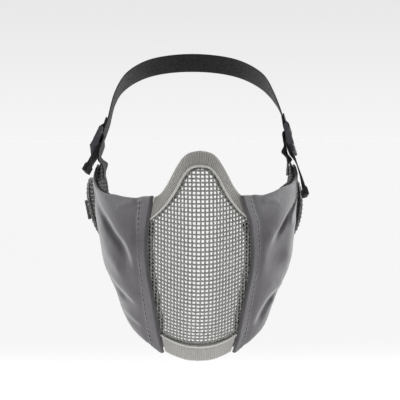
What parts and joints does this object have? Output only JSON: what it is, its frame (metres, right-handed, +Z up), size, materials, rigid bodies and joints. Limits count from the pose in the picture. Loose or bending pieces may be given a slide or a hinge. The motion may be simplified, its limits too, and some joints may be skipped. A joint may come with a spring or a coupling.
{
  "type": "mesh face mask",
  "caption": "Half-face mask with a stiff wire mesh front, fabric cheeks, domed mesh ear guards and a buckled strap round the head.",
  "frame": {"origin": "inside the nose binding's top edge at the middle, where the mask sits on the bridge of the nose", "axes": "+Z up as worn, -Y the way the mask faces, +X towards the wearer's left, which is the viewer's right"},
  "size_m": [0.1774, 0.2083, 0.2343],
  "materials": {
    "wire": "semi-gloss painted steel wire",
    "tape": "ribbed tape",
    "fabric": "smooth, slightly sheened",
    "lining": "open spacer mesh",
    "webbing": "woven webbing",
    "plastic": "satin moulded plastic",
    "patch": "matt moulded rubber"
  },
  "bodies": {
    "root": {"mesh_panel": "wire", "nose_binding": "tape", "chin_binding": "tape", "cheek_panel_left": "fabric", "cheek_panel_right": "fabric", "cheek_lining_left": "lining", "cheek_lining_right": "lining", "ear_guard_left": "wire", "ear_guard_right": "wire", "ear_patch": "patch", "adjuster_webbing_left": "webbing", "adjuster_webbing_right": "webbing", "buckle_left": "plastic", "buckle_right": "plastic", "head_strap": "webbing"}
  },
  "joints": []
}
